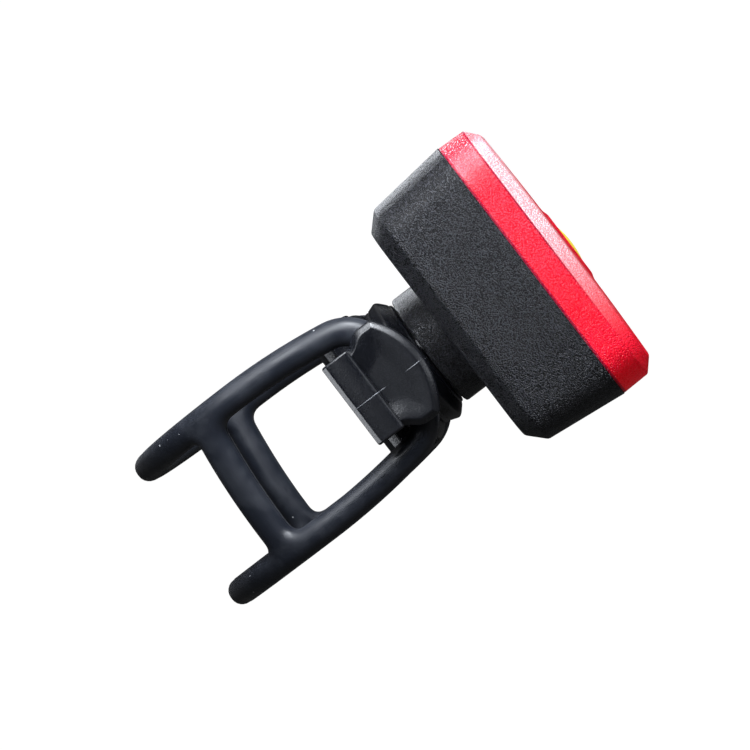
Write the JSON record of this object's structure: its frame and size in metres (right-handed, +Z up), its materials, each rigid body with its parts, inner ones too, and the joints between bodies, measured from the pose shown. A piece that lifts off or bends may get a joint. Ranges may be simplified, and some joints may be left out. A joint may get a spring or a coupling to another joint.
{
  "type": "bicycle tail light",
  "caption": "Compact square bicycle tail light with a red lens, push button, twist-lock bracket and rubber seat-post strap.",
  "frame": {"origin": "on the seat post's axis, at mid height of the bracket", "axes": "+Z up along the seat post, -Y out of the red lens, X across the light"},
  "size_m": [0.0412, 0.0626, 0.0382],
  "materials": {
    "bracket_black": "smooth moulded nylon with a low sheen",
    "pad_rubber": "matt grip lining",
    "strap_rubber": "satin blue-black silicone with fine dust",
    "screw_steel": "zinc plated",
    "housing_black": "fine moulded grain",
    "lens_red": "clear red, finely textured inside the chamfer band",
    "seal_rubber": "soft seal",
    "board_green": "solder mask",
    "led_resin": "clear resin over phosphor",
    "reflector_bright": "vacuum metallised",
    "diffuser_white": "frosted sheet",
    "switch_black": "moulded resin",
    "switch_white": "moulded nylon",
    "port_steel": "nickel plated",
    "cell_foil": "satin foil",
    "foam_grey": "closed-cell foam",
    "plug_rubber": "satin silicone",
    "button_yellow": "slightly translucent"
  },
  "bodies": {
    "mount": {"bracket_core": "bracket_black", "saddle_pad": "pad_rubber", "twist_socket": "bracket_black", "socket_screws": "screw_steel", "strap": "strap_rubber"},
    "head": {"rear_housing": "housing_black", "lens_cover": "lens_red", "seam_gasket": "seal_rubber", "housing_screws": "screw_steel", "twist_foot": "bracket_black", "foot_screw": "screw_steel", "circuit_board": "board_green", "board_screws": "screw_steel", "leds": "led_resin", "reflector": "reflector_bright", "diffuser": "diffuser_white", "mode_switch": "switch_black", "driver_chips": "switch_black", "usb_socket": "port_steel", "battery_cell": "cell_foil", "battery_tabs": "port_steel", "battery_pad": "foam_grey", "plug_anchor": "plug_rubber"},
    "button": {"button_cap": "button_yellow", "switch_plunger": "switch_white"},
    "plug": {"port_plug": "plug_rubber"}
  },
  "joints": [
    {"name": "head_twist", "type": "hinge", "parent": "mount", "child": "head", "pos_m": [0, -0.0205, 0], "axis": [0, -1, 0], "range_deg": [0, 90]},
    {"name": "button_press", "type": "slide", "parent": "head", "child": "button", "axis": [0, 1, 0], "range_m": [0, 0.0005], "stiffness_N_per_m": 800},
    {"name": "plug_hinge", "type": "hinge", "parent": "head", "child": "plug", "pos_m": [0, -0.02972, -0.01809], "axis": [1, 0, 0], "range_deg": [0, 110]}
  ]
}
